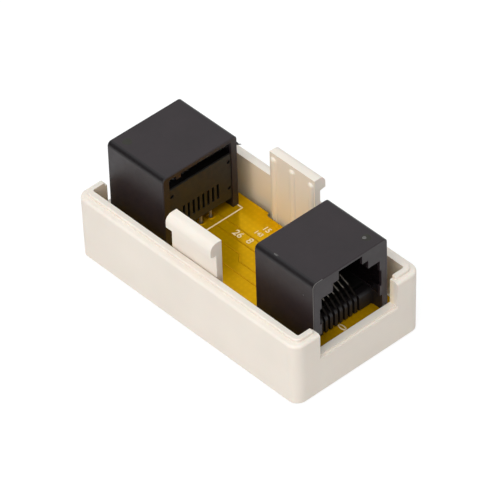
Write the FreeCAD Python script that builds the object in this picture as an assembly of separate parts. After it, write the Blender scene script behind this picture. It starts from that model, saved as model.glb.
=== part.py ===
import FreeCAD
import Part
import math
import os

# Lower half of an inline network coupler: an open moulded tray, a circuit board and two eight-way sockets.
# Millimetres, origin at the centre of the underside, X along the length, Z up.
# Socket parts are drawn at the +X end and turned half a turn about Z for the other end.

Vec = FreeCAD.Vector
os.makedirs("parts", exist_ok=True)

# Tray
tray_length = 50.4
tray_width = 26.6
tray_height = 12.7
lip_rise = 0.6
corner_radius = 2.0
draft_degrees = 0.8
floor_thickness = 1.5
long_wall = 2.15
end_wall = 1.7
long_lip = 1.05
end_lip = 0.8
cavity_corner = 0.3
ledge_round = 0.5
foot_chamfer = 0.3
lip_chamfer = 0.15
lip_end_round = 0.35
lip_notch_setback = 0.45
sill_height = 7.4
sill_lip = 1.2
sill_step = 0.35

# Seats under the board, at its corners and beside the arms
seat_depth = 1.4
seat_edge_margin = 0.2
corner_seat_length = 4.2
middle_seat_length = 1.6
middle_seat_offset = 2.8

# Snap arms of the tray
arm_half_width = 5.1
arm_thickness = 1.15
arm_wall_gap = 0.25
arm_height = 19.5
arm_root_reach = 1.3
head_proud = 1.15
head_depth = 2.5
head_round = 1.3
head_undercut = 0.15
rib_spacing = 4.25
rib_radius = 0.75
rib_proud = 0.4
rib_drop = 0.65

# Circuit board
board_thickness = 1.6
board_standoff = 3.5
board_width = 19.1
board_end_clearance = 0.2
board_corner = 0.8
board_notch_depth = 0.65
board_notch_clearance = 0.4
board_notch_corner = 0.7

# Socket housings, heights taken from the top of the board
socket_depth = 13.0
socket_wall_gap = 0.1
socket_side_clearance = 0.35
top_edge_round = 0.85
side_edge_chamfer = 0.15
shell_wall = 1.3
shell_roof = 0.8
frame_depth = 2.0

# Stepped mouth of a housing, from the bottom up
leg_wall = 1.2
mouth_wall = 1.7
mouth_roof = 1.1
plug_width = 12.2
plug_bottom = 3.3
plug_height = 7.1
step_width = 7.4
step_rise = 1.6
latch_width = 4.9
latch_rise = 1.05
lead_in_rise = 0.6
lead_in_depth = 1.0
recess_depth = 0.35
recess_foot = 2.0
recess_height = 3.1

# Contact comb inside the mouth
contact_pitch = 1.02
contact_count = 8
comb_front = 2.2
comb_depth = 1.5
comb_bottom = 0.25
comb_top = 3.2
comb_round = 0.6
comb_web_top = 1.95
slot_width = 0.46

# Pegs that locate the housing in the board
peg_radius = 1.6
peg_clearance = 0.05
peg_side = 5.715
peg_back = 6.5
peg_reach = 2.6
peg_chamfer = 0.5
peg_pad_top = 2.0
peg_pad_half = 2.0
peg_pad_inner = 1.8

# Contact carrier that closes the rear of the housing
carrier_clearance = 0.05
carrier_inset = 0.15
carrier_window = 2.3
carrier_plate = 1.65
carrier_floor_top = 3.4
carrier_floor_front = 4.3
carrier_slot_foot = 0.05
carrier_slot_height = 2.95
dimple_radius = 0.35
dimple_depth = 0.3
dimple_edge = 0.5
dimple_foot = 0.9
dimple_drop = 1.45

# Nib on the housing ceiling, seen through the rear window
nib_side = 4.5
nib_width = 0.9
nib_drop = 0.7
nib_length = 1.5

# Contacts and their solder
wire_width = 0.32
wire_thickness = 0.35
wire_clearance = 0.075
wire_bend = 0.3
wire_setback = 0.6
wire_bend_drop = 0.35
wire_nose_back = 4.05
wire_nose_height = 4.02
wire_tip_back = 9.8
wire_tip_height = 6.75
pin_rear = 12.0
pin_row_spacing = 2.54
pin_reach = 2.8
pin_hole_radius = 0.45
solder_radius = 0.75
solder_neck = 0.32
solder_height = 0.9
small_round_sides = 12

# Reach of cutting bodies past a surface, overlap of joined bodies, and the tolerance for picking edges
past = 1.0
overlap = 0.1
tiny = 0.01

# Sizes that follow from the ones above
half_length = tray_length / 2
half_width = tray_width / 2
ledge_height = tray_height - lip_rise
sill_ledge = sill_height - sill_step
root_bottom = floor_thickness / 2
cavity_half_x = half_length - end_wall
cavity_half_y = half_width - long_wall
draft = math.tan(math.radians(draft_degrees))
arm_outer = cavity_half_y - arm_wall_gap
arm_inner = arm_outer - arm_thickness
board_bottom = floor_thickness + board_standoff
board_top = board_bottom + board_thickness
board_half_x = cavity_half_x - draft * (tray_height - board_bottom) - board_end_clearance
board_half_y = board_width / 2
plug_half = plug_width / 2
plug_top = plug_bottom + plug_height
step_top = plug_top + step_rise
latch_top = step_top + latch_rise
socket_height = latch_top + mouth_roof
socket_half = plug_half + mouth_wall
shell_half = socket_half - shell_wall
shell_ceiling = socket_height - shell_roof
notch_half = socket_half + socket_side_clearance
socket_front = cavity_half_x - socket_wall_gap
pin_front = pin_rear - pin_row_spacing
wire_level = comb_web_top + wire_clearance + wire_thickness / 2
carrier_top = shell_ceiling - carrier_window


def box(x0, x1, y0, y1, z0, z1):
    """Box between two corners."""
    return Part.makeBox(x1 - x0, y1 - y0, z1 - z0, Vec(x0, y0, z0))


def rounded_wire(half_x, half_y, radius, z):
    """Rectangle with rounded corners, drawn flat at height z."""
    edges = []
    corners = [(1, 1, 0), (-1, 1, 90), (-1, -1, 180), (1, -1, 270)]
    ends = []
    for side_x, side_y, start in corners:
        centre = Vec(side_x * (half_x - radius), side_y * (half_y - radius), z)
        points = []
        for angle in (start, start + 45, start + 90):
            turn = math.radians(angle)
            points.append(centre + Vec(radius * math.cos(turn), radius * math.sin(turn), 0))
        edges.append(Part.Arc(*points).toShape())
        ends.append((points[0], points[2]))
    for index in range(4):
        edges.append(Part.makeLine(ends[index][1], ends[(index + 1) % 4][0]))
    return Part.Wire(Part.__sortEdges__(edges))


def drafted(half_x, half_y, radius, z0, z1):
    """Rounded block that has its full size at z1 and narrows with the draft towards z0."""
    shrink = draft * (z1 - z0)
    lower = rounded_wire(half_x - shrink, half_y - shrink, radius - shrink, z0)
    upper = rounded_wire(half_x, half_y, radius, z1)
    return Part.makeLoft([lower, upper], True, True)


def extrude_outline(points, direction):
    """Closed outline of points, pushed along a direction."""
    wire = Part.makePolygon(points + [points[0]])
    return Part.Face(wire).extrude(direction)


def many_sided(radius, top_radius, height):
    """Small upright round body on the origin, drawn with few flat sides."""
    rings = []
    for ring_radius, level in ((radius, 0), (top_radius, height)):
        points = []
        for step in range(small_round_sides + 1):
            turn = 2 * math.pi * step / small_round_sides
            points.append(Vec(ring_radius * math.cos(turn), ring_radius * math.sin(turn), level))
        rings.append(points)
    low, high = rings
    outlines = [low, high]
    for step in range(small_round_sides):
        outlines.append([low[step], low[step + 1], high[step + 1], high[step], low[step]])
    faces = [Part.Face(Part.makePolygon(outline)) for outline in outlines]
    return Part.Solid(Part.Shell(faces))


def upright_edges(shape):
    """Edges that run straight up."""
    return [edge for edge in shape.Edges if edge.BoundBox.ZLength > edge.Length - tiny]


def half_turn(shape):
    """Copy of a shape, turned half a turn about Z."""
    turned = shape.copy()
    turned.rotate(Vec(0, 0, 0), Vec(0, 0, 1), 180)
    return turned


def at_socket(shape):
    """Moves a shape from socket coordinates to the +X end of the tray."""
    moved = shape.copy()
    moved.translate(Vec(socket_front, 0, board_top))
    return moved


def contact_sides():
    """Sideways positions of the contacts."""
    middle = (contact_count - 1) / 2
    return [(index - middle) * contact_pitch for index in range(contact_count)]


def pin_back(index):
    """Distance of a pin behind the mouth: the pins stand in two staggered rows."""
    return pin_front if index % 2 == 0 else pin_rear


def make_arm():
    """Snap arm at the +Y wall: flat stem, outward head with a rounded back, three round ribs."""
    head_bottom = arm_height - head_depth
    head_outer = arm_outer + head_proud
    start = -arm_half_width
    bottom_in = Vec(start, arm_inner, root_bottom)
    top_in = Vec(start, arm_inner, arm_height)
    round_start = Vec(start, head_outer - head_round, arm_height)
    slant = head_round * math.sqrt(0.5)
    round_middle = Vec(start, head_outer - head_round + slant, arm_height - head_round + slant)
    round_end = Vec(start, head_outer, arm_height - head_round)
    head_corner = Vec(start, head_outer, head_bottom + head_undercut)
    neck = Vec(start, arm_outer, head_bottom)
    bottom_out = Vec(start, arm_outer, root_bottom)
    outline = [
        Part.makeLine(bottom_in, top_in),
        Part.makeLine(top_in, round_start),
        Part.Arc(round_start, round_middle, round_end).toShape(),
        Part.makeLine(round_end, head_corner),
        Part.makeLine(head_corner, neck),
        Part.makeLine(neck, bottom_out),
        Part.makeLine(bottom_out, bottom_in),
    ]
    arm = Part.Face(Part.Wire(outline)).extrude(Vec(2 * arm_half_width, 0, 0))
    rib_centre = arm_inner + rib_radius - rib_proud
    rib_end = arm_height - rib_drop - rib_radius
    for step in (-1, 0, 1):
        foot = Vec(step * rib_spacing, rib_centre, root_bottom)
        arm = arm.fuse(Part.makeCylinder(rib_radius, rib_end - root_bottom, foot))
        arm = arm.fuse(Part.makeSphere(rib_radius, Vec(step * rib_spacing, rib_centre, rib_end)))
    return arm


def make_tray():
    """Open tray with a stepped rim, an open notch at each end and two snap arms."""
    body = drafted(half_length, half_width, corner_radius, 0, ledge_height)
    ledge = [edge for edge in body.Edges if edge.CenterOfMass.z > ledge_height - tiny]
    body = body.makeFillet(ledge_round, ledge)
    foot = [edge for edge in body.Edges if edge.CenterOfMass.z < tiny]
    body = body.makeChamfer(foot_chamfer, foot)
    lip_x = cavity_half_x + end_lip
    lip_y = cavity_half_y + long_lip
    lip_wire = rounded_wire(lip_x, lip_y, cavity_corner + end_lip, ledge_height - past)
    lip = Part.Face(lip_wire).extrude(Vec(0, 0, lip_rise + past))
    lip_end = notch_half + lip_notch_setback
    gap = box(-half_length, half_length, -lip_end, lip_end, ledge_height, tray_height + past)
    lip = lip.cut(gap)
    corners = [e for e in upright_edges(lip) if abs(abs(e.CenterOfMass.y) - lip_end) < tiny]
    lip = lip.makeFillet(lip_end_round, corners)
    rim = [edge for edge in lip.Edges if edge.CenterOfMass.z > tray_height - tiny]
    lip = lip.makeChamfer(lip_chamfer, rim)
    body = body.fuse(lip)
    cavity = drafted(cavity_half_x, cavity_half_y, cavity_corner, floor_thickness, tray_height)
    body = body.cut(cavity)
    outline = [
        Vec(cavity_half_x - past, -notch_half, sill_height),
        Vec(cavity_half_x + sill_lip, -notch_half, sill_height),
        Vec(cavity_half_x + sill_lip, -notch_half, sill_ledge),
        Vec(half_length + past, -notch_half, sill_ledge),
        Vec(half_length + past, -notch_half, tray_height + past),
        Vec(cavity_half_x - past, -notch_half, tray_height + past),
    ]
    notch = extrude_outline(outline, Vec(0, 2 * notch_half, 0))
    body = body.cut(notch).cut(half_turn(notch))
    wall_middle = cavity_half_y + long_lip / 2
    seat_inner = board_half_y - seat_depth
    for side in (-1, 1):
        for end in (-1, 1):
            x0, x1 = sorted((end * (board_half_x - corner_seat_length), end * (cavity_half_x + end_lip / 2)))
            y0, y1 = sorted((side * seat_inner, side * wall_middle))
            body = body.fuse(box(x0, x1, y0, y1, root_bottom, board_bottom))
            middle = end * (arm_half_width + middle_seat_offset)
            y0, y1 = sorted((side * seat_inner, side * (board_half_y - seat_edge_margin)))
            x0 = middle - middle_seat_length / 2
            body = body.fuse(box(x0, x0 + middle_seat_length, y0, y1, root_bottom, board_bottom))
    arm = make_arm()
    root_inner = arm_inner - arm_root_reach
    root = box(-arm_half_width, arm_half_width, root_inner, wall_middle, root_bottom, board_bottom)
    arm = arm.fuse(root)
    body = body.fuse(arm).fuse(half_turn(arm))
    return body.removeSplitter()


def make_board():
    """Circuit board with an edge notch for each arm, peg holes and pin holes."""
    board = Part.Face(rounded_wire(board_half_x, board_half_y, board_corner, board_bottom))
    board = board.extrude(Vec(0, 0, board_thickness))
    notch_x = arm_half_width + board_notch_clearance
    notch_y = board_half_y - board_notch_depth
    notch_bottom = board_bottom - past
    notch_top = board_top + past
    for side in (-1, 1):
        y0, y1 = sorted((side * notch_y, side * (board_half_y + past)))
        notch = box(-notch_x, notch_x, y0, y1, notch_bottom, notch_top)
        inner = [e for e in upright_edges(notch) if abs(abs(e.CenterOfMass.y) - notch_y) < tiny]
        board = board.cut(notch.makeFillet(board_notch_corner, inner))
    holes = []
    below = Vec(0, 0, -board_thickness - past)
    through = board_thickness + 2 * past
    for side in (-1, 1):
        foot = Vec(-peg_back, side * peg_side, 0) + below
        holes.append(Part.makeCylinder(peg_radius + peg_clearance, through, foot))
    for index, sideways in enumerate(contact_sides()):
        hole = many_sided(pin_hole_radius, pin_hole_radius, through)
        hole.translate(Vec(-pin_back(index), sideways, 0) + below)
        holes.append(hole)
    for hole in holes:
        placed = at_socket(hole)
        board = board.cut(placed).cut(half_turn(placed))
    return board


def make_housing():
    """Socket housing: a shell open below and behind, with the stepped plug mouth in front."""
    body = box(-socket_depth, 0, -socket_half, socket_half, 0, socket_height)
    top_edges = [e for e in body.Edges if e.CenterOfMass.z > socket_height - tiny]
    top_long = [e for e in top_edges if abs(e.CenterOfMass.y) > socket_half - tiny]
    body = body.makeFillet(top_edge_round, top_long)
    ends = [e for e in body.Edges if e.BoundBox.XLength < tiny and e.CenterOfMass.z > tiny]
    body = body.makeChamfer(side_edge_chamfer, ends)
    shell = box(-socket_depth - past, -frame_depth, -shell_half, shell_half, -past, shell_ceiling)
    body = body.cut(shell)
    leg_half = socket_half - leg_wall
    step_half = step_width / 2
    latch_half = latch_width / 2
    right = [
        (leg_half, -past), (leg_half, plug_bottom), (plug_half, plug_bottom), (plug_half, plug_top),
        (step_half, plug_top), (step_half, step_top), (latch_half, step_top), (latch_half, latch_top),
    ]
    left = [(-side, height) for side, height in reversed(right)]
    back = -frame_depth - overlap
    mouth = [Vec(back, side, height) for side, height in right + left]
    body = body.cut(extrude_outline(mouth, Vec(frame_depth + past, 0, 0)))
    lead_in = [
        Vec(-lead_in_depth, -latch_half, latch_top),
        Vec(0, -latch_half, latch_top + lead_in_rise),
        Vec(past, -latch_half, latch_top + lead_in_rise),
        Vec(past, -latch_half, latch_top),
    ]
    body = body.cut(extrude_outline(lead_in, Vec(0, 2 * latch_half, 0)))
    recess_half = plug_half + recess_depth
    recess_bottom = plug_bottom + recess_foot
    recess_top = recess_bottom + recess_height
    body = body.cut(box(back, past, -recess_half, recess_half, recess_bottom, recess_top))
    body = body.fuse(make_comb())
    for side in (-1, 1):
        y0, y1 = sorted((side * (peg_side - peg_pad_inner), side * (shell_half + overlap)))
        pad = box(-peg_back - peg_pad_half, -peg_back + peg_pad_half, y0, y1, 0, peg_pad_top)
        foot = Vec(-peg_back, side * peg_side, -peg_reach)
        peg = Part.makeCylinder(peg_radius, peg_reach + overlap, foot)
        tip = [e for e in peg.Edges if e.CenterOfMass.z < -peg_reach + tiny]
        body = body.fuse(pad).fuse(peg.makeChamfer(peg_chamfer, tip))
    nib = box(0, nib_length, -nib_width / 2, nib_width / 2, -nib_drop, overlap)
    nib.translate(Vec(-socket_depth, nib_side, shell_ceiling))
    return body.fuse(nib).removeSplitter()


def make_comb():
    """Cross bar behind the mouth, slotted for the contacts."""
    back = -comb_front - comb_depth
    side = shell_half + overlap
    comb = box(back, -comb_front, -side, side, comb_bottom, comb_top)
    front_top = [
        e for e in comb.Edges
        if e.CenterOfMass.x > -comb_front - tiny and e.CenterOfMass.z > comb_top - tiny
    ]
    comb = comb.makeFillet(comb_round, front_top)
    split = -comb_front - comb_depth / 2
    for sideways in contact_sides():
        y0 = sideways - slot_width / 2
        y1 = sideways + slot_width / 2
        comb = comb.cut(box(split, 0, y0, y1, comb_bottom - past, comb_top + past))
        comb = comb.cut(box(back - past, split + overlap, y0, y1, comb_web_top, comb_top + past))
    return comb


def make_carrier():
    """Contact carrier: rear plate with a slot for each contact tip and a floor plate with grooves below."""
    half = shell_half - carrier_clearance
    rear = -socket_depth + carrier_inset
    plate_front = rear + carrier_plate
    bottom = peg_pad_top
    outline = [
        Vec(rear, -half, bottom),
        Vec(-carrier_floor_front, -half, bottom),
        Vec(-carrier_floor_front, -half, carrier_floor_top),
        Vec(plate_front, -half, carrier_floor_top),
        Vec(plate_front, -half, carrier_top),
        Vec(rear, -half, carrier_top),
    ]
    carrier = extrude_outline(outline, Vec(0, 2 * half, 0))
    slot_bottom = carrier_floor_top + carrier_slot_foot
    slot_top = slot_bottom + carrier_slot_height
    groove_top = wire_level + wire_thickness / 2 + wire_clearance
    for index, sideways in enumerate(contact_sides()):
        y0 = sideways - slot_width / 2
        y1 = sideways + slot_width / 2
        slot = box(rear - past, plate_front + past, y0, y1, slot_bottom, slot_top)
        groove_back = -pin_back(index) - wire_bend
        groove = box(groove_back, 0, y0, y1, bottom - past, groove_top)
        carrier = carrier.cut(slot).cut(groove)
    for side in (-1, 1):
        for height in (carrier_floor_top + dimple_foot, carrier_top - dimple_drop):
            dimple = many_sided(dimple_radius, dimple_radius, dimple_depth)
            dimple.rotate(Vec(0, 0, 0), Vec(0, 1, 0), 90)
            dimple.translate(Vec(rear, side * (half - dimple_edge), height))
            carrier = carrier.cut(dimple)
    return carrier.removeSplitter()


def ribbon(path, thickness, width):
    """Flat strip that follows a path in the XZ plane, with mitred bends."""
    upper = []
    lower = []
    for index, point in enumerate(path):
        before = path[max(index, 1)] - path[max(index, 1) - 1]
        after = path[min(index + 1, len(path) - 1)] - path[min(index, len(path) - 2)]
        ahead = before.normalize() + after.normalize()
        reach = thickness / ahead.Length
        normal = Vec(-ahead.z, 0, ahead.x).normalize() * reach
        upper.append(point + normal)
        lower.append(point - normal)
    strip = extrude_outline(upper + lower[::-1], Vec(0, width, 0))
    strip.translate(Vec(0, -width / 2, 0))
    return strip


def cross_edges(strip, corner, reach):
    """Edges across a strip within reach of a point, the rearmost first."""
    edges = [e for e in strip.Edges if e.BoundBox.YLength > e.Length - tiny]
    edges = [e for e in edges if (e.CenterOfMass - corner).Length < reach]
    return sorted(edges, key=lambda e: e.CenterOfMass.x)


def rounded_bend(strip, corner):
    """Strip with both of its edges rounded at one bend of its path."""
    inner, outer = cross_edges(strip, corner, wire_thickness)
    strip = strip.makeFillet(wire_bend + wire_thickness / 2, [outer])
    return strip.makeFillet(wire_bend - wire_thickness / 2, cross_edges(strip, inner.CenterOfMass, tiny))


def make_contact(index):
    """Spring contact: pin through the board, run under the carrier, bend at the comb, nose, free tip."""
    back = pin_back(index)
    front = comb_front + wire_setback
    bend = Vec(-front, 0, comb_top - wire_bend_drop)
    nose = Vec(-wire_nose_back, 0, wire_nose_height)
    path = [
        Vec(-back, 0, -pin_reach),
        Vec(-back, 0, wire_level),
        Vec(-front, 0, wire_level),
        bend,
        nose,
        Vec(-wire_tip_back, 0, wire_tip_height),
    ]
    contact = ribbon(path, wire_thickness, wire_width)
    contact = rounded_bend(contact, bend)
    contact = rounded_bend(contact, nose)
    contact.translate(Vec(0, contact_sides()[index], 0))
    return contact


def make_solder(index, contact):
    """Solder cone round one pin, on the underside of the board."""
    cone = many_sided(solder_neck, solder_radius, solder_height)
    cone.translate(Vec(-pin_back(index), contact_sides()[index], -board_thickness - solder_height))
    return cone.cut(contact)


def export(name, shape):
    """Writes one node and stops the build when a solid is broken."""
    if not shape.isValid() or not shape.Solids:
        raise RuntimeError("broken shape: " + name)
    shape.exportStep("parts/" + name + ".step")


export("tray", make_tray())
export("circuit_board", make_board())
housing = at_socket(make_housing())
carrier = at_socket(make_carrier())
export("housing_a", housing)
export("housing_b", half_turn(housing))
export("carrier_a", carrier)
export("carrier_b", half_turn(carrier))
joints = []
for number in range(contact_count):
    contact = make_contact(number)
    joints.append(at_socket(make_solder(number, contact)))
    placed = at_socket(contact)
    export("contact_a" + str(number + 1), placed)
    export("contact_b" + str(number + 1), half_turn(placed))
export("solder_a", Part.makeCompound(joints))
export("solder_b", half_turn(Part.makeCompound(joints)))
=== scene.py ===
import math

import bpy
from mathutils import Matrix, Vector


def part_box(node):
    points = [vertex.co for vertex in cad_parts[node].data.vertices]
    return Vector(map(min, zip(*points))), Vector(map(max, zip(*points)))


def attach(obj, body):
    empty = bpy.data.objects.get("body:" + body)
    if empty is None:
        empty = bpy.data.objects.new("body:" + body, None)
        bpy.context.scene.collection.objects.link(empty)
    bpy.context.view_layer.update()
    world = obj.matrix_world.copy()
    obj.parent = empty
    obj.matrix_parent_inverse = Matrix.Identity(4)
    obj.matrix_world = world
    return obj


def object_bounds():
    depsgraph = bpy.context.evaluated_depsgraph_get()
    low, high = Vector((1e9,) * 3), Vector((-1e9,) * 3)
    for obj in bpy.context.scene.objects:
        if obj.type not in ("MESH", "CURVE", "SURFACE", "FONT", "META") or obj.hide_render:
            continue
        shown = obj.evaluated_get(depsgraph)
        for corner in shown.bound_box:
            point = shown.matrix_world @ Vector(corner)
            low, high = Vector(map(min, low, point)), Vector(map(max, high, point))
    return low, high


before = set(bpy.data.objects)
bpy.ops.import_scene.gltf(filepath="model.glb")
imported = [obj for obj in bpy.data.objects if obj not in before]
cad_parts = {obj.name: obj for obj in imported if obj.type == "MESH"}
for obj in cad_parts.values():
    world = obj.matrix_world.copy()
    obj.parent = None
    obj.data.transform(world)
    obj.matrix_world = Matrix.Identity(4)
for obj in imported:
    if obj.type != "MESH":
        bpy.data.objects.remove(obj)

bl_info = {
    "name": "Inline network coupler",
    "version": (1, 0, 0),
    "blender": (4, 5, 0),
    "location": "3D View > Sidebar > Coupler",
    "description": "Dresses an open inline coupler with two sockets on a circuit board",
    "category": "Object",
}

MM = 0.001
CAD_LOW, CAD_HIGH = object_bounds()
BOARD_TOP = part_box("circuit_board")[1].z
NEAR_LOW, NEAR_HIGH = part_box("housing_a")
FAR_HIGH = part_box("housing_b")[1]
# Side of X on which each socket stands
SOCKET_ENDS = {"a": 1, "b": -1}
CONTACTS = 8
CONTACT_PITCH = 1.02 * MM
# From a housing's rear to its odd and its even pins
ODD_PIN_INSET = 3.54 * MM
EVEN_PIN_INSET = 1.0 * MM
SOCKET_ROUND = 0.85 * MM
PART_MIDDLE = Vector((0, 0, 8)) * MM


# Colours and properties

def linear(code):
    """Linear colour of an sRGB hex code such as "E8DED3"."""
    channels = []
    for start in (0, 2, 4):
        value = int(code[start:start + 2], 16) / 255
        channels.append(value / 12.92 if value <= 0.04045 else ((value + 0.055) / 1.055) ** 2.4)
    return (*channels, 1.0)


def shade(colour, factor):
    """Colour made darker or lighter by a factor."""
    return (*[min(channel * factor, 1.0) for channel in colour[:3]], 1.0)


def grey(value):
    """Neutral grey of a linear value."""
    return (value, value, value, 1.0)


def colour_property(name, description, code):
    """Colour that a user can change, with its default from a hex code."""
    return bpy.props.FloatVectorProperty(
        name=name, description=description, subtype="COLOR", size=4,
        min=0.0, max=1.0, default=linear(code))


def length_property(name, description, default):
    """Length that a user can change, in metres."""
    return bpy.props.FloatProperty(
        name=name, description=description, subtype="DISTANCE", unit="LENGTH",
        default=default, precision=5)


class CouplerColours(bpy.types.PropertyGroup):
    """Colours of the coupler's materials"""
    tray: colour_property("Tray", "Warm white moulding", "E8DED3")
    # Painted bounce light: the warm light that the amber board throws on the tray's inner faces
    glow: colour_property("Inner tint", "Tray's inner faces over the amber board", "FAE6C6")
    socket: colour_property("Socket", "Black socket moulding", "20171B")
    carrier: colour_property("Carrier", "Black contact carrier", "1D1A17")
    scar: colour_property("Scar", "Broken gate and scuffs on the sockets", "5E5B59")
    halo: colour_property("Halo", "Dull ring round a gate mark", "26241C")
    lacquer: colour_property("Lacquer", "Board lacquer over copper", "EEB400")
    track: colour_property("Track", "Lacquer over a copper track", "DFA400")
    gloss: colour_property("Lacquer gloss", "Tint of what the lacquer mirrors", "FFE684")
    core: colour_property("Board core", "Cut edge of the laminate", "B7A36A")
    print: colour_property("Print", "White ink on the board", "F2DDB4")
    # Painted glint: the bright line along each wire's crown; also the tin of the pins
    plating: colour_property("Plating", "Plated face that meets the plug", "E4DDD0")
    # Painted shade: the dark of each wire outside its glint
    painted_shade_bronze: colour_property("Bronze", "Bare spring wire at the comb", "1A1512")
    solder: colour_property("Solder", "Tin solder", "C9C9CC")


class CouplerSizes(bpy.types.PropertyGroup):
    """Sizes of what the dressing adds"""
    ink_height: length_property("Ink height", "Print over the board", 0.035 * MM)
    ink_width: length_property("Ink width", "Width of the printed lines", 0.24 * MM)
    digit_height: length_property("Digit height", "Height of the numbers", 1.35 * MM)
    digit_weight: length_property("Digit weight", "Thickening of the digits' strokes", 0.03 * MM)
    track_width: length_property("Track width", "Width of a copper track", 0.26 * MM)
    track_height: length_property("Track height", "Track under its lacquer", 0.01 * MM)
    pad_radius: length_property("Pad radius", "Outside of a solder pad", 0.8 * MM)
    pad_hole: length_property("Pad hole", "Inside of a solder pad", 0.46 * MM)
    nub_radius: length_property("Nub radius", "Broken gate on a socket", 0.36 * MM)
    halo_radius: length_property("Halo radius", "Dull ring round the gate", 0.95 * MM)
    # Where the painted glint lies along the wires, behind each front; in the far socket it stops
    # sooner
    glint_from: length_property("Plated from", "Plating's start behind a front", 4.3 * MM)
    glint_to: length_property("Plated to", "Plating's end behind a front", 6.2 * MM)
    far_glint_to: length_property("Dull to", "Plating's end in the far socket", 5.3 * MM)
    glint_width: length_property("Glint width", "Bright line along a wire", 0.17 * MM)


# Shader helpers

def add_node(tree, kind, given=None, **settings):
    """Adds a node with its settings, gives its inputs values or links, and returns its outputs."""
    node = tree.nodes.new(kind)
    for key, value in settings.items():
        setattr(node, key, value)
    for key, value in (given or {}).items():
        if isinstance(value, bpy.types.NodeSocket):
            tree.links.new(value, node.inputs[key])
        else:
            node.inputs[key].default_value = value
    return node.outputs


def chained(tree, operation, sources):
    """One number from several, by the same operation on each in turn."""
    value = sources[0]
    for source in sources[1:]:
        value = add_node(tree, "ShaderNodeMath", {0: value, 1: source}, operation=operation)["Value"]
    return value


def empty_material(name):
    """Material with an empty node tree, and that tree."""
    material = bpy.data.materials.new(name)
    material.use_nodes = True
    material.node_tree.nodes.clear()
    return material, material.node_tree


def finish_surface(tree, surface):
    """One surface shader with its values and links, led to the material's output."""
    shader = add_node(tree, "ShaderNodeBsdfPrincipled", surface)
    add_node(tree, "ShaderNodeOutputMaterial", {"Surface": shader["BSDF"]})


def object_noise(tree, size, detail=3.0, roughness=0.5, stretch=(1, 1, 1)):
    """Noise in the part's frame whose lumps have a real size in metres."""
    place = add_node(tree, "ShaderNodeTexCoord")["Object"]
    scaled = add_node(tree, "ShaderNodeMapping", {"Vector": place, "Scale": stretch})["Vector"]
    return add_node(tree, "ShaderNodeTexNoise", {
        "Vector": scaled, "Scale": 1 / size, "Detail": detail, "Roughness": roughness})["Fac"]


def wandering(tree, low, high, size, **lumps):
    """Number that wanders between two, over lumps of a real size in metres."""
    # Most of the noise lies between 0.3 and 0.7
    return add_node(tree, "ShaderNodeMapRange", {
        "Value": object_noise(tree, size, **lumps), "From Min": 0.3, "From Max": 0.7,
        "To Min": low, "To Max": high})["Result"]


def clouded(tree, colour, darker, lighter, size, **lumps):
    """Colour that wanders between two shades of itself, over lumps of a real size in metres."""
    share = wandering(tree, 0.0, 1.0, size, **lumps)
    return add_node(
        tree, "ShaderNodeMix",
        {"Factor": share, "A": shade(colour, darker), "B": shade(colour, lighter)},
        data_type="RGBA")["Result"]


def grained(tree, size, strength):
    """Normal over a moulding's fine grain, 0.03 mm deep, with lumps of a size in metres."""
    height = object_noise(tree, size, detail=2.0, roughness=0.6)
    return add_node(tree, "ShaderNodeBump", {
        "Height": height, "Strength": strength, "Distance": 0.03 * MM})["Normal"]


def box_mask(tree, low, high):
    """One inside a box and zero outside it, the same at both ends of the coupler."""
    place = add_node(tree, "ShaderNodeTexCoord")["Object"]
    folded = add_node(tree, "ShaderNodeVectorMath", {0: place}, operation="ABSOLUTE")["Vector"]
    centred = add_node(
        tree, "ShaderNodeVectorMath", {0: folded, 1: (low + high) / 2},
        operation="SUBTRACT")["Vector"]
    scaled = add_node(
        tree, "ShaderNodeVectorMath", {0: centred, 1: (high - low) / 2},
        operation="DIVIDE")["Vector"]
    shares = add_node(tree, "ShaderNodeVectorMath", {0: scaled}, operation="ABSOLUTE")["Vector"]
    axes = add_node(tree, "ShaderNodeSeparateXYZ", {"Vector": shares})
    farthest = chained(tree, "MAXIMUM", axes.values())
    # It fades over the last 3% of the way from the box's middle to a face
    return add_node(tree, "ShaderNodeMapRange", {
        "Value": farthest, "From Min": 0.97, "From Max": 1.0,
        "To Min": 1.0, "To Max": 0.0})["Result"]


def painted_dark_edge_mask(tree):
    """One on rounded long edges that lean between up and sideways, where a dark reflection is painted.
    """
    normal = add_node(tree, "ShaderNodeNewGeometry")["Normal"]
    axes = add_node(tree, "ShaderNodeSeparateXYZ", {"Vector": normal})
    aside = add_node(tree, "ShaderNodeMath", {0: axes["Y"]}, operation="ABSOLUTE")["Value"]
    # Zero on a flat face and a half where an edge leans by 45 degrees
    lean = chained(tree, "MULTIPLY", [aside, axes["Z"]])
    return add_node(tree, "ShaderNodeMapRange", {
        "Value": lean, "From Min": 0.04, "From Max": 0.12})["Result"]


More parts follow.
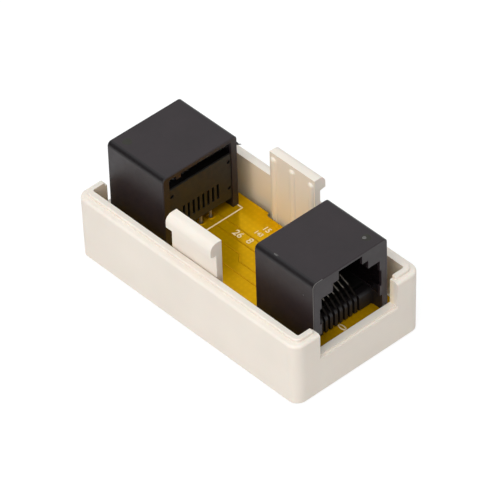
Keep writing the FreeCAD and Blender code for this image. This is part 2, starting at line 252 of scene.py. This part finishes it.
def painted_bounce_mask(tree):
    """One where warm bounce light from the amber board is painted: on the cavity's upright faces that
    look to the tray's middle, strongest near the board.
    """
    place = add_node(tree, "ShaderNodeTexCoord")["Object"]
    flat = add_node(
        tree, "ShaderNodeVectorMath", {0: place, 1: (1.0, 1.0, 0.0)},
        operation="MULTIPLY")["Vector"]
    normal = add_node(tree, "ShaderNodeNewGeometry")["Normal"]
    # A face's distance from the middle, below zero where it looks inward
    outward = add_node(
        tree, "ShaderNodeVectorMath", {0: flat, 1: normal}, operation="DOT_PRODUCT")["Value"]
    inner = add_node(tree, "ShaderNodeMapRange", {
        "Value": outward, "From Min": -8.0 * MM, "From Max": -2.0 * MM,
        "To Min": 1.0, "To Max": 0.0})["Result"]
    height = add_node(tree, "ShaderNodeSeparateXYZ", {"Vector": place})["Z"]
    # The painted bounce is strongest at the board and fades upward
    low = add_node(tree, "ShaderNodeMapRange", {
        "Value": height, "From Min": BOARD_TOP, "From Max": BOARD_TOP + 14 * MM,
        "To Min": 0.9, "To Max": 0.15})["Result"]
    # The box ends just inside the tray's two ends and reaches past its sides and top
    reach = CAD_HIGH + Vector((-0.55, 1.0, 1.0)) * MM
    return chained(tree, "MULTIPLY", [inner, low, box_mask(tree, -reach, reach)])


# Materials

def tray_material(colours):
    """Moulded ABS, warm white: clouded satin with a fine grain, and warm bounce light from the amber
    board painted on its inner faces.
    """
    material, tree = empty_material("ABS warm white moulded")
    skin = clouded(tree, colours.tray, 0.965, 1.02, 9 * MM, detail=2.0)
    finish_surface(tree, {
        # Painted bounce light on the inner faces
        "Base Color": add_node(
            tree, "ShaderNodeMix", {"Factor": painted_bounce_mask(tree), "A": skin, "B": colours.glow},
            data_type="RGBA")["Result"],
        "Roughness": wandering(tree, 0.42, 0.54, 2.2 * MM, detail=2.0),
        # The real grain is about 0.03 mm wide, drawn here at 0.16 mm so that it shows
        "Normal": grained(tree, 0.16 * MM, 0.12),
        "IOR": 1.54, "Subsurface Weight": 0.08, "Subsurface Scale": 0.8 * MM})
    return material


def black_material(name, colour, low, high, hollow=None, comb=None):
    """Moulded PBT, black: clouded grey with an uneven gloss, with painted shade in the plug's hollow
    and over the comb, and a painted dark reflection on long edges.
    """
    material, tree = empty_material(name)
    skin = clouded(tree, colour, 0.86, 1.14, 5 * MM, stretch=(1, 1, 1.6))
    gloss = wandering(tree, low, high, 1.4 * MM)
    if hollow:
        # Painted shade in the plug's hollow and over the comb, and a painted dark reflection on the
        # rounded long edges, each mask with its share of the colour and its roughness
        painted_shade_regions = (
            (box_mask(tree, *hollow), 0.25, 0.26), (box_mask(tree, *comb), 0.3, 0.55),
            (painted_dark_edge_mask(tree), 0.4, 0.42))
        for mask, share, roughness in painted_shade_regions:
            skin = add_node(
                tree, "ShaderNodeMix", {"Factor": mask, "A": skin, "B": shade(colour, share)},
                data_type="RGBA")["Result"]
            gloss = add_node(
                tree, "ShaderNodeMix", {"Factor": mask, "A": gloss, "B": roughness})["Result"]
    finish_surface(tree, {
        "Base Color": skin, "Roughness": gloss,
        # The real grain is about 0.03 mm wide, drawn here at 0.14 mm so that it shows
        "Normal": grained(tree, 0.14 * MM, 0.15), "IOR": 1.45})
    return material


def board_material(colours):
    """Copper under amber lacquer: mirrors its surroundings in amber, with a cut edge of pale fibre."""
    material, tree = empty_material("Lacquered glass laminate")
    # Threads of glass cloth lie about 0.5 mm apart, drawn here at 1 mm so that they show
    thread = 0.987 * MM
    # A wave texture turns by this many radians over one unit
    turn_per_unit = 20
    place = add_node(tree, "ShaderNodeTexCoord")["Object"]
    cloth = chained(tree, "MULTIPLY", [
        add_node(
            tree, "ShaderNodeTexWave",
            {"Vector": place, "Scale": math.tau / turn_per_unit / thread, "Distortion": 0.6},
            bands_direction=direction)["Fac"]
        for direction in ("X", "Y")])
    copper = clouded(tree, colours.lacquer, 0.92, 1.06, 4 * MM)
    skin = add_node(
        tree, "ShaderNodeMix", {"Factor": 0.1, "A": copper, "B": cloth},
        data_type="RGBA", blend_type="MULTIPLY")["Result"]
    normal = add_node(tree, "ShaderNodeNewGeometry")["Normal"]
    upward = add_node(tree, "ShaderNodeSeparateXYZ", {"Vector": normal})["Z"]
    level = add_node(tree, "ShaderNodeMath", {0: upward}, operation="ABSOLUTE")["Value"]
    # One on the board's two faces and zero on its cut edge
    face = add_node(tree, "ShaderNodeMapRange", {
        "Value": level, "From Min": 0.4, "From Max": 0.6})["Result"]
    finish_surface(tree, {
        "Base Color": add_node(
            tree, "ShaderNodeMix", {"Factor": face, "A": colours.core, "B": skin},
            data_type="RGBA")["Result"],
        "Metallic": add_node(
            tree, "ShaderNodeMath", {0: face, 1: 0.5}, operation="MULTIPLY")["Value"],
        "Normal": add_node(tree, "ShaderNodeBump", {
            "Height": cloth, "Strength": 0.1, "Distance": 0.02 * MM})["Normal"],
        "Roughness": 0.2, "IOR": 1.3, "Specular Tint": colours.gloss})
    return material


def film_material(colours):
    """Lacquer over a raised copper track: the same amber mirror as the board, a little deeper."""
    material, tree = empty_material("Lacquer over copper")
    finish_surface(tree, {
        "Base Color": clouded(tree, colours.track, 0.93, 1.07, 3 * MM),
        "Roughness": wandering(tree, 0.16, 0.26, 0.9 * MM),
        "Metallic": 0.5, "IOR": 1.3, "Specular Tint": colours.gloss})
    return material


def ink_material(colours):
    """Screen-printed epoxy ink: chalky white with thin spots where the amber shows."""
    material, tree = empty_material("Screen print ink")
    spot = 0.35 * MM
    # Zero where the ink is thin
    cover = add_node(tree, "ShaderNodeMapRange", {
        "Value": object_noise(tree, spot, roughness=0.65),
        "From Min": 0.36, "From Max": 0.5})["Result"]
    amber = [0.6 * ink + 0.4 * lacquer for ink, lacquer in zip(colours.print, colours.lacquer)]
    finish_surface(tree, {
        "Base Color": add_node(
            tree, "ShaderNodeMix", {"Factor": cover, "A": amber, "B": colours.print},
            data_type="RGBA")["Result"],
        "Roughness": wandering(tree, 0.5, 0.7, spot, roughness=0.65), "IOR": 1.5})
    return material


def solder_material(colours):
    """Cast tin solder: a clean reflection, slightly clouded."""
    material, tree = empty_material("Tin solder")
    cloud = 0.6 * MM
    finish_surface(tree, {
        "Base Color": clouded(tree, colours.solder, 0.92, 1.04, cloud),
        "Roughness": wandering(tree, 0.25, 0.4, cloud), "Metallic": 1.0})
    return material


def contact_material(colours, sizes, glint_to):
    """Spring wire: a painted glint along its crown where it is plated, painted shade as a dull
    near-black elsewhere, and tin on the pins below the carrier.
    """
    material, tree = empty_material("Part plated spring wire")
    place = add_node(tree, "ShaderNodeTexCoord")["Object"]
    axes = add_node(tree, "ShaderNodeSeparateXYZ", {"Vector": place})
    along = add_node(tree, "ShaderNodeMath", {0: axes["X"]}, operation="ABSOLUTE")["Value"]
    ragged = object_noise(tree, 0.3 * MM, detail=2.0)
    nudged = add_node(
        tree, "ShaderNodeMath", {0: ragged, 1: 0.25 * MM, 2: along},
        operation="MULTIPLY_ADD")["Value"]
    # The wires stand at odd halves of their pitch from the middle
    half_pitch = CONTACT_PITCH / 2
    crown = add_node(
        tree, "ShaderNodeMath", {0: axes["Y"], 1: half_pitch}, operation="PINGPONG")["Value"]
    front = NEAR_HIGH.x
    # Each measure, its mark, and how softly it rises past the mark or, below zero, falls
    limits = (
        (nudged, front - sizes.glint_from, -0.2 * MM), (along, front - glint_to, 0.2 * MM),
        (crown, half_pitch - sizes.glint_width / 2, 0.05 * MM))
    # Painted glint: a bright line along each wire's crown, within the plated stretch
    plated = chained(tree, "MULTIPLY", [
        add_node(
            tree, "ShaderNodeMapRange",
            {"Value": source, "From Min": mark - soft, "From Max": mark + soft},
            interpolation_type="SMOOTHSTEP")["Result"]
        for source, mark, soft in limits])
    # Below the carrier the pins are tinned all round
    tinned = add_node(tree, "ShaderNodeMapRange", {
        "Value": axes["Z"], "From Min": 8.2 * MM, "From Max": 8.6 * MM,
        "To Min": 0.55, "To Max": 0.0})["Result"]
    # Painted glint, or the tin of the pins
    bright = chained(tree, "MAXIMUM", [plated, tinned])
    finish_surface(tree, {
        "Base Color": add_node(
            tree, "ShaderNodeMix", {"Factor": bright, "A": colours.painted_shade_bronze, "B": colours.plating},
            data_type="RGBA")["Result"],
        "Metallic": add_node(
            tree, "ShaderNodeMix", {"Factor": bright, "A": 0.05, "B": 0.8})["Result"],
        "Roughness": add_node(
            tree, "ShaderNodeMix", {"Factor": bright, "A": 0.6, "B": 0.35})["Result"],
        "IOR": 1.2})
    return material


def dress(name, material):
    """Gives a CAD node its material in every slot."""
    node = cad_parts[name]
    if not node.data.materials:
        node.data.materials.append(material)
    for index in range(len(node.data.materials)):
        node.data.materials[index] = material


# Mesh helpers

def show(name, data):
    """New object in the scene."""
    holder = bpy.data.objects.new(name, data)
    bpy.context.scene.collection.objects.link(holder)
    return holder


def hand_over(name, mesh):
    """Finished piece that rides on the part."""
    piece = show(name, mesh)
    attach(piece, "root")


def add_piece(name, points, faces, material):
    """Finished piece from a list of points and faces."""
    mesh = bpy.data.meshes.new(name)
    mesh.from_pydata([tuple(point) for point in points], [], faces)
    mesh.validate()
    mesh.materials.append(material)
    hand_over(name, mesh)


def plain_mesh(name, holder):
    """Mesh that an object's modifier or font makes; the object itself goes."""
    graph = bpy.context.evaluated_depsgraph_get()
    mesh = bpy.data.meshes.new_from_object(holder.evaluated_get(graph), depsgraph=graph)
    mesh.name = name
    bpy.data.objects.remove(holder)
    return mesh


def line_object(name, lines):
    """Object of open lines, each a list of points."""
    points = []
    edges = []
    for line in lines:
        start = len(points)
        points += [tuple(point) for point in line]
        edges += [(index, index + 1) for index in range(start, start + len(line) - 1)]
    mesh = bpy.data.meshes.new(name)
    mesh.from_pydata(points, edges, [])
    return show(name, mesh)


def circle_points(centre, radius, across, up, sides):
    """Points round a circle in the plane of two directions."""
    turns = [math.tau * step / sides for step in range(sides)]
    return [centre + radius * (math.cos(turn) * across + math.sin(turn) * up) for turn in turns]


def half_turned(point):
    """Point turned half a turn about Z, for the other end of the coupler."""
    return Vector((-point.x, -point.y, point.z))


def pin_places(end):
    """Places of a socket's pins on the board, taken from the contacts' own boxes."""
    rear = {"a": NEAR_LOW.x, "b": FAR_HIGH.x}[end]
    places = []
    for number in range(1, CONTACTS + 1):
        low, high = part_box("contact_" + end + str(number))
        inset = ODD_PIN_INSET if number % 2 else EVEN_PIN_INSET
        x = rear + SOCKET_ENDS[end] * inset
        places.append(Vector((x, (low.y + high.y) / 2, BOARD_TOP)))
    return places


# Geometry trees

def node_group(name, inputs):
    """Empty geometry tree with a geometry output and named inputs of (name, type, default)."""
    tree = bpy.data.node_groups.new(name, "GeometryNodeTree")
    tree.interface.new_socket("Geometry", in_out="INPUT", socket_type="NodeSocketGeometry")
    for label, kind, default in inputs:
        socket = tree.interface.new_socket(label, in_out="INPUT", socket_type=kind)
        if default is not None:
            socket.default_value = default
    tree.interface.new_socket("Geometry", in_out="OUTPUT", socket_type="NodeSocketGeometry")
    return tree


def finish_tree(tree, shape, material):
    """Makes instances real, sets the material and leads to the output."""
    real = add_node(tree, "GeometryNodeRealizeInstances", {"Geometry": shape})["Geometry"]
    dressed = add_node(
        tree, "GeometryNodeSetMaterial", {"Geometry": real, "Material": material})["Geometry"]
    add_node(tree, "NodeGroupOutput", {"Geometry": dressed})


def strip_tree(name):
    """Flat strip along each line of the mesh, with rounded corners and a rectangular section."""
    tree = node_group(name, [
        ("Width", "NodeSocketFloat", 0.3 * MM), ("Height", "NodeSocketFloat", 0.02 * MM),
        ("Corner", "NodeSocketFloat", 0.1 * MM), ("Material", "NodeSocketMaterial", None)])
    given = add_node(tree, "NodeGroupInput")
    curve = add_node(tree, "GeometryNodeMeshToCurve", {"Mesh": given["Geometry"]})["Curve"]
    soft = add_node(
        tree, "GeometryNodeFilletCurve",
        {"Curve": curve, "Radius": given["Corner"], "Count": 5, "Limit Radius": True},
        mode="POLY")["Curve"]
    upright = add_node(tree, "GeometryNodeSetCurveNormal", {"Curve": soft}, mode="Z_UP")["Curve"]
    section = add_node(tree, "GeometryNodeCurvePrimitiveQuadrilateral", {
        "Width": given["Width"], "Height": given["Height"]})["Curve"]
    strip = add_node(tree, "GeometryNodeCurveToMesh", {
        "Curve": upright, "Profile Curve": section, "Fill Caps": True})["Mesh"]
    finish_tree(tree, strip, given["Material"])
    return tree


def ring_tree(name):
    """Flat ring on each point of the mesh."""
    tree = node_group(name, [
        ("Outer", "NodeSocketFloat", 0.8 * MM), ("Inner", "NodeSocketFloat", 0.46 * MM),
        ("Height", "NodeSocketFloat", 0.03 * MM), ("Material", "NodeSocketMaterial", None)])
    given = add_node(tree, "NodeGroupInput")
    both = chained(tree, "ADD", [given["Outer"], given["Inner"]])
    radius = add_node(tree, "ShaderNodeMath", {0: both, 1: 0.5}, operation="MULTIPLY")["Value"]
    circle = add_node(tree, "GeometryNodeCurvePrimitiveCircle", {
        "Resolution": 28, "Radius": radius})["Curve"]
    width = chained(tree, "SUBTRACT", [given["Outer"], given["Inner"]])
    section = add_node(tree, "GeometryNodeCurvePrimitiveQuadrilateral", {
        "Width": width, "Height": given["Height"]})["Curve"]
    ring = add_node(tree, "GeometryNodeCurveToMesh", {
        "Curve": circle, "Profile Curve": section})["Mesh"]
    spread = add_node(tree, "GeometryNodeInstanceOnPoints", {
        "Points": given["Geometry"], "Instance": ring})["Instances"]
    finish_tree(tree, spread, given["Material"])
    return tree


def grow(name, tree, source, values):
    """Piece that a tree makes of an object, with the tree's inputs set by identifier."""
    modifier = source.modifiers.new(tree.name, "NODES")
    modifier.node_group = tree
    for item in tree.interface.items_tree:
        if item.item_type == "SOCKET" and item.in_out == "INPUT" and item.name in values:
            modifier[item.identifier] = values[item.name]
    hand_over(name, plain_mesh(name, source))


# Pieces

class COUPLER_OT_tray(bpy.types.Operator):
    """Gives the tray its moulded finish"""
    bl_idname = "coupler.tray"
    bl_label = "Tray finish"

    def execute(self, context):
        dress("tray", tray_material(context.scene.coupler_colours))
        return {"FINISHED"}


class COUPLER_OT_sockets(bpy.types.Operator):
    """Gives the socket housings and contact carriers their black mouldings"""
    bl_idname = "coupler.sockets"
    bl_label = "Socket finish"

    def execute(self, context):
        colours = context.scene.coupler_colours
        rim = 0.35 * MM
        comb_top = BOARD_TOP + 3.5 * MM
        # Boxes where shade is painted: the plug's hollow above the comb, and the comb below that
        # height
        hollow = (
            Vector((NEAR_LOW.x + rim, NEAR_LOW.y + rim, comb_top)),
            NEAR_HIGH - Vector((rim, rim, rim)))
        comb = (
            NEAR_LOW + Vector((rim, rim, -rim)),
            Vector((NEAR_HIGH.x - rim, NEAR_HIGH.y - rim, comb_top)))
        housing = black_material("PBT black moulded", colours.socket, 0.38, 0.47, hollow, comb)
        carrier = black_material("PBT black carrier", colours.carrier, 0.42, 0.58, hollow, comb)
        for end in SOCKET_ENDS:
            dress("housing_" + end, housing)
            dress("carrier_" + end, carrier)
        return {"FINISHED"}


class COUPLER_OT_metal(bpy.types.Operator):
    """Gives the contacts and the solder their metals"""
    bl_idname = "coupler.metal"
    bl_label = "Contact and solder finish"

    def execute(self, context):
        colours = context.scene.coupler_colours
        sizes = context.scene.coupler_sizes
        # The painted glint stops sooner in the far socket
        glint_to = {"a": sizes.glint_to, "b": sizes.far_glint_to}
        tin = solder_material(colours)
        for end in SOCKET_ENDS:
            dress("solder_" + end, tin)
            wire = contact_material(colours, sizes, glint_to[end])
            for number in range(1, CONTACTS + 1):
                dress("contact_" + end + str(number), wire)
        return {"FINISHED"}


class COUPLER_OT_board(bpy.types.Operator):
    """Gives the board its lacquer, and adds tracks and pads under it"""
    bl_idname = "coupler.board"
    bl_label = "Circuit board"

    def execute(self, context):
        colours = context.scene.coupler_colours
        sizes = context.scene.coupler_sizes
        dress("circuit_board", board_material(colours))
        film = film_material(colours)
        # Half of a track or pad lies in the board, so it is made twice as high as it stands
        height = 2 * sizes.track_height
        jog = 1.2 * MM
        lines = []
        for near, far in zip(pin_places("a")[::2], pin_places("b")[::2]):
            middle = (near.x + far.x) / 2 + min(near.y, -far.y)
            path = ((near.x, 0), (middle + jog, 0), (middle, jog), (far.x, jog))
            lines.append([Vector((x, near.y + aside, BOARD_TOP)) for x, aside in path])
        grow("board_tracks", strip_tree("Copper track"), line_object("tracks", lines), {
            "Width": sizes.track_width, "Height": height, "Corner": 0.4 * MM,
            "Material": film})
        places = [[place] for end in SOCKET_ENDS for place in pin_places(end)]
        grow("board_pads", ring_tree("Solder pad"), line_object("pads", places), {
            "Outer": sizes.pad_radius, "Inner": sizes.pad_hole, "Height": height,
            "Material": film})
        return {"FINISHED"}


class COUPLER_OT_print(bpy.types.Operator):
    """Adds the white print: socket outlines, plain numbers and an oval mark at each mouth"""
    bl_idname = "coupler.print"
    bl_label = "Board print"

    def execute(self, context):
        sizes = context.scene.coupler_sizes
        ink = ink_material(context.scene.coupler_colours)
        behind = 1.1 * MM
        inset = 0.38 * MM
        side = NEAR_HIGH.y - inset
        outline = [
            Vector((NEAR_LOW.x + x, y, BOARD_TOP))
            for x, y in ((behind, side), (-behind, side), (-behind, -side), (behind, -side))]
        oval_centre = Vector((21.85 * MM, -0.5 * MM, BOARD_TOP))
        oval_along = Vector((0.78, 0, 0))
        oval_across = Vector((0, 0.33, 0))
        oval = circle_points(oval_centre, MM, oval_along, oval_across, sides=24)
        oval.append(oval[0])
        lines = []
        for line in (outline, oval):
            lines += [line, [half_turned(point) for point in line]]
        grow("board_print", strip_tree("Printed line"), line_object("print", lines), {
            "Width": sizes.ink_width, "Height": 2 * sizes.ink_height, "Corner": 0.02 * MM,
            "Material": ink})
        self.add_numbers(sizes, ink)
        return {"FINISHED"}

    def add_numbers(self, sizes, ink):
        """Plain pin numbers on the open part of the board"""
        # Digits, their place in mm, and their share of the digit height
        numbers = (
            ("26", -5.15, 2.7, 1.0), ("8", -2.64, 2.85, 1.0),
            ("143", -2.95, 5.05, 0.62), ("15", -2.75, 6.6, 0.8))
        font_over_digit = 1.35
        for index, (digits, x, y, share) in enumerate(numbers, 1):
            text = bpy.data.curves.new("number", "FONT")
            text.body = digits
            text.size = sizes.digit_height * share * font_over_digit
            text.align_x = "CENTER"
            text.align_y = "CENTER"
            text.extrude = sizes.ink_height
            text.offset = sizes.digit_weight
            name = "board_number_" + str(index)
            mesh = plain_mesh(name, show("number", text))
            mesh.transform(Matrix.Translation((x * MM, y * MM, BOARD_TOP)))
            mesh.materials.clear()
            mesh.materials.append(ink)
            hand_over(name, mesh)


class COUPLER_OT_marks(bpy.types.Operator):
    """Adds the gate marks on the socket tops, a pale spot, a worn nick, a painted edge highlight and a
    whisker of moulding flash
    """
    bl_idname = "coupler.marks"
    bl_label = "Moulding marks and wear"

    def execute(self, context):
        colours = context.scene.coupler_colours
        sizes = context.scene.coupler_sizes
        # This pale moulding also draws the painted highlight along the near socket's front outline
        scar = black_material("PBT whitened by wear", colours.scar, 0.3, 0.5)
        halo = black_material("PBT dull ring", colours.halo, 0.6, 0.75)
        # Shares of the radius with their heights: a shallow ring, and a broken nub in it
        ring = ((0.0, 0.004 * MM), (0.7, 0.006 * MM), (1.0, -0.01 * MM))
        nub = ((0.0, 0.06 * MM), (0.45, 0.075 * MM), (0.8, 0.03 * MM), (1.0, -0.01 * MM))
        for end, side in SOCKET_ENDS.items():
            centre = Vector((side * 21.15 * MM, side * 5.5 * MM, NEAR_HIGH.z))
            self.add_dome("gate_ring_" + end, centre, sizes.halo_radius, ring, halo)
        centre = Vector((20.95 * MM, 5.25 * MM, NEAR_HIGH.z))
        self.add_dome("gate_nub", centre, sizes.nub_radius, nub, scar)
        self.add_pale_spot(scar)
        self.add_edge_highlight_and_nick(scar)
        self.add_flash(colours)
        return {"FINISHED"}

    def add_dome(self, name, centre, radius, profile, material, sides=24):
        """Low, slightly uneven round form turned from a profile of radius shares and heights"""
        unevenness = 0.08
        points = [centre + Vector((0, 0, profile[0][1]))]
        for share, height in profile[1:]:
            for step in range(sides):
                turn = math.tau * step / sides
                across = radius * share * (1 + unevenness * math.sin(3 * turn + 1))
                points.append(
                    centre + Vector((across * math.cos(turn), across * math.sin(turn), height)))
        faces = [(0, 1 + step, 1 + (step + 1) % sides) for step in range(sides)]
        for ring in range(len(profile) - 2):
            for step in range(sides):
                a = 1 + ring * sides + step
                b = 1 + ring * sides + (step + 1) % sides
                faces.append((a, a + sides, b + sides, b))
        add_piece(name, points, faces, material)

    def add_pale_spot(self, material):
        """Pale spot where the near socket's top meets its rounded edge"""
        start = Vector((13.95 * MM, NEAR_LOW.y + 0.82 * MM, NEAR_HIGH.z))
        length = 0.95 * MM
        half_width = 0.17 * MM
        inner_rise = 0.004 * MM
        outer_drop = 0.008 * MM
        steps = 8
        points = []
        for step in range(steps + 1):
            share = step / steps
            # The sine starts and stops short of zero, which leaves both ends blunt
            half = half_width * math.sin(math.pi * (0.08 + 0.84 * share))
            place = start + Vector((length * share, 0, 0))
            points.append(place + Vector((0, half, inner_rise)))
            points.append(place + Vector((0, -half, -outer_drop)))
        faces = [(2 * step, 2 * step + 1, 2 * step + 3, 2 * step + 2) for step in range(steps)]
        add_piece("edge_pale_spot", points, faces, material)

    def add_edge_highlight_and_nick(self, material):
        """Painted highlight as a thin pale line along the near socket's front outline, and one worn
        nick on its side
        """
        front = NEAR_HIGH.x
        side = NEAR_LOW.y
        lowest = 9.0 * MM
        along_top = 2.0 * MM
        thickness = 0.08 * MM
        outline = [Vector((front, side, lowest))]
        steps = 8
        for step in range(steps + 1):
            turn = math.pi * (1 - step / steps / 2)
            outline.append(Vector((
                front, side + SOCKET_ROUND * (1 + math.cos(turn)),
                NEAR_HIGH.z - SOCKET_ROUND * (1 - math.sin(turn)))))
        outline.append(Vector((front, side + along_top, NEAR_HIGH.z)))
        nick = [Vector((21.15 * MM, side, 17.5 * MM)), Vector((21.31 * MM, side, 17.42 * MM))]
        # Painted highlight along the outline, and the worn nick
        grow("edge_highlight_and_nick", strip_tree("Worn line"), line_object("wear", [outline, nick]), {
            "Width": thickness, "Height": thickness, "Corner": 0.0,
            "Material": material})

    def add_flash(self, colours):
        """Whisker of plastic left on the far socket's rear edge"""
        plastic = black_material("PBT flash", colours.socket, 0.4, 0.5)
        # Place from the socket's corner, then radius, in mm
        path = (
            (-0.25, -0.25, -1.5, 0.26), (-0.15, 0.0, -1.85, 0.24),
            (-0.1, 0.3, -2.15, 0.13), (0.0, 0.85, -2.4, 0.05))
        sides = 8
        points = []
        for x, y, z, radius in path:
            centre = FAR_HIGH + Vector((x, y, z)) * MM
            points += circle_points(
                centre, radius * MM, Vector((0, 1, 0)), Vector((0, 0, 1)), sides)
        faces = []
        for ring in range(len(path) - 1):
            for step in range(sides):
                a = ring * sides + step
                b = ring * sides + (step + 1) % sides
                faces.append((a, b, b + sides, a + sides))
        faces.append(tuple(range(len(points) - sides, len(points))))
        faces.append(tuple(reversed(range(sides))))
        add_piece("mould_flash", points, faces, plastic)


class COUPLER_OT_stage(bpy.types.Operator):
    """Adds the floor, the lights and the camera"""
    bl_idname = "coupler.stage"
    bl_label = "Stage"

    def execute(self, context):
        self.add_floor()
        self.add_world(context.scene)
        self.add_lights()
        self.add_camera(context.scene)
        context.scene.view_settings.view_transform = "Standard"
        return {"FINISHED"}

    def square_mesh(self, name, half):
        """Flat square about its own middle"""
        mesh = bpy.data.meshes.new(name)
        corners = [(-half, -half, 0), (half, -half, 0), (half, half, 0), (-half, half, 0)]
        mesh.from_pydata(corners, [], [(0, 1, 2, 3)])
        return mesh

    def facing_part(self, name, data, place, axis):
        """Object at a place in metres, with one of its axes toward the part"""
        holder = show(name, data)
        holder.location = place
        toward = PART_MIDDLE - Vector(place)
        holder.rotation_euler = toward.to_track_quat(axis, "Y").to_euler()
        return holder

    def add_floor(self):
        """Pale floor that shows white and keeps a soft shadow"""
        material, tree = empty_material("Paper white sweep")
        plain = add_node(tree, "ShaderNodeBsdfDiffuse", {"Color": linear("C8C8C8")})["BSDF"]
        dim = add_node(tree, "ShaderNodeBsdfDiffuse", {"Color": grey(0.3)})["BSDF"]
        glow = add_node(
            tree, "ShaderNodeEmission", {"Color": grey(1.0), "Strength": 0.76})["Emission"]
        shown = add_node(tree, "ShaderNodeAddShader", {0: dim, 1: glow})["Shader"]
        path = add_node(tree, "ShaderNodeLightPath")
        seen = chained(
            tree, "MAXIMUM",
            [path[kind] for kind in ("Is Camera Ray", "Is Glossy Ray", "Is Transmission Ray")])
        mixed = add_node(tree, "ShaderNodeMixShader", {0: seen, 1: plain, 2: shown})["Shader"]
        add_node(tree, "ShaderNodeOutputMaterial", {"Surface": mixed})
        mesh = self.square_mesh("floor", 3.0)
        mesh.materials.append(material)
        show("floor", mesh)

    def add_world(self, scene):
        """Even pale surround, white where it is seen, with a dimmer gap that only gloss mirrors"""
        world = bpy.data.worlds.new("Soft tent")
        world.use_nodes = True
        tree = world.node_tree
        tree.nodes.clear()
        lit = add_node(tree, "ShaderNodeBackground", {
            "Color": linear("FFFCF8"), "Strength": 0.66})["Background"]
        direction = add_node(tree, "ShaderNodeTexCoord")["Generated"]
        gap_direction = (-0.56, 0.50, 0.66)
        toward_gap = add_node(
            tree, "ShaderNodeVectorMath", {0: direction, 1: gap_direction},
            operation="DOT_PRODUCT")["Value"]
        gap = add_node(tree, "ShaderNodeMapRange", {
            "Value": toward_gap, "From Min": 0.8, "From Max": 0.97,
            "To Min": 1.0, "To Max": 0.78})["Result"]
        mirrored = add_node(tree, "ShaderNodeBackground", {"Color": gap})["Background"]
        white = add_node(tree, "ShaderNodeBackground", {"Color": grey(1.0)})["Background"]
        path = add_node(tree, "ShaderNodeLightPath")
        unseen = add_node(tree, "ShaderNodeMixShader", {
            0: path["Is Glossy Ray"], 1: lit, 2: mirrored})["Shader"]
        seen = chained(tree, "MAXIMUM", [path["Is Camera Ray"], path["Is Transmission Ray"]])
        mixed = add_node(tree, "ShaderNodeMixShader", {0: seen, 1: unseen, 2: white})["Shader"]
        add_node(tree, "ShaderNodeOutputWorld", {"Surface": mixed})
        scene.world = world

    def add_lights(self):
        """One large softbox in front, a weak one above, and a dark card that only gloss mirrors"""
        self.add_softbox("softbox_front", (0.22, -0.66, 0.53), 0.6, 3.7, (1.0, 1.0, 1.0))
        self.add_softbox("softbox_top", (0.03, -0.08, 0.9), 0.5, 2.2, (0.7, 0.9, 1.0))
        self.add_card("card_left", (-0.56, -0.66, 0.5), 1.15)

    def add_softbox(self, name, place, width, power, colour):
        """Square area light that faces the part, in metres and watts"""
        light = bpy.data.lights.new(name, "AREA")
        light.size = width
        light.energy = power
        light.color = colour
        self.facing_part(name, light, place, "-Z")

    def add_card(self, name, place, width):
        """Square dark card beyond the lights, seen only by glossy rays"""
        material, tree = empty_material("Black felt card")
        felt = add_node(tree, "ShaderNodeBsdfDiffuse", {"Color": linear("3A3A3A")})["BSDF"]
        add_node(tree, "ShaderNodeOutputMaterial", {"Surface": felt})
        mesh = self.square_mesh(name, width / 2)
        mesh.materials.append(material)
        card = self.facing_part(name, mesh, place, "Z")
        card.visible_camera = False
        card.visible_diffuse = False
        card.visible_shadow = False

    def add_camera(self, scene):
        """Long lens, fitted to the edges of the tray and sockets in the photograph"""
        azimuth, elevation, roll = (math.radians(angle) for angle in (48.532, 41.528, -1.911))
        back = Vector((
            math.sin(azimuth) * math.cos(elevation), -math.cos(azimuth) * math.cos(elevation),
            math.sin(elevation)))
        level = Vector((math.cos(azimuth), math.sin(azimuth), 0))
        upward = back.cross(level)
        right = math.cos(roll) * level + math.sin(roll) * upward
        up = -math.sin(roll) * level + math.cos(roll) * upward
        aim = Vector((0.7, -0.55, 8.3)) * MM
        place = aim + (0.324 * right + 0.528 * up + 765.652 * back) * MM
        camera = bpy.data.cameras.new("camera")
        camera.sensor_width = 36.0
        camera.lens = 354.9
        camera.clip_start = 0.05
        camera.clip_end = 20.0
        holder = show("camera", camera)
        turn = Matrix((right, up, back)).transposed().to_4x4()
        holder.matrix_world = Matrix.Translation(place) @ turn
        scene.camera = holder


STEPS = (
    COUPLER_OT_tray, COUPLER_OT_sockets, COUPLER_OT_metal, COUPLER_OT_board,
    COUPLER_OT_print, COUPLER_OT_marks, COUPLER_OT_stage,
)


class COUPLER_PT_panel(bpy.types.Panel):
    """Lists the coupler's steps, sizes and colours"""
    bl_idname = "COUPLER_PT_panel"
    bl_label = "Inline coupler"
    bl_space_type = "VIEW_3D"
    bl_region_type = "UI"
    bl_category = "Coupler"

    def draw(self, context):
        for step in STEPS:
            self.layout.operator(step.bl_idname)
        for group in (context.scene.coupler_sizes, context.scene.coupler_colours):
            box = self.layout.box()
            for name in group.bl_rna.properties.keys():
                if name not in ("rna_type", "name"):
                    box.prop(group, name)


CLASSES = (CouplerColours, CouplerSizes, *STEPS, COUPLER_PT_panel)


def register():
    for item in CLASSES:
        bpy.utils.register_class(item)
    bpy.types.Scene.coupler_colours = bpy.props.PointerProperty(type=CouplerColours)
    bpy.types.Scene.coupler_sizes = bpy.props.PointerProperty(type=CouplerSizes)


def unregister():
    del bpy.types.Scene.coupler_sizes
    del bpy.types.Scene.coupler_colours
    for item in reversed(CLASSES):
        bpy.utils.unregister_class(item)


def main():
    register()
    bpy.ops.coupler.tray()
    bpy.ops.coupler.sockets()
    bpy.ops.coupler.metal()
    bpy.ops.coupler.board()
    bpy.ops.coupler.print()
    bpy.ops.coupler.marks()
    bpy.ops.coupler.stage()


if __name__ == "__main__":
    main()
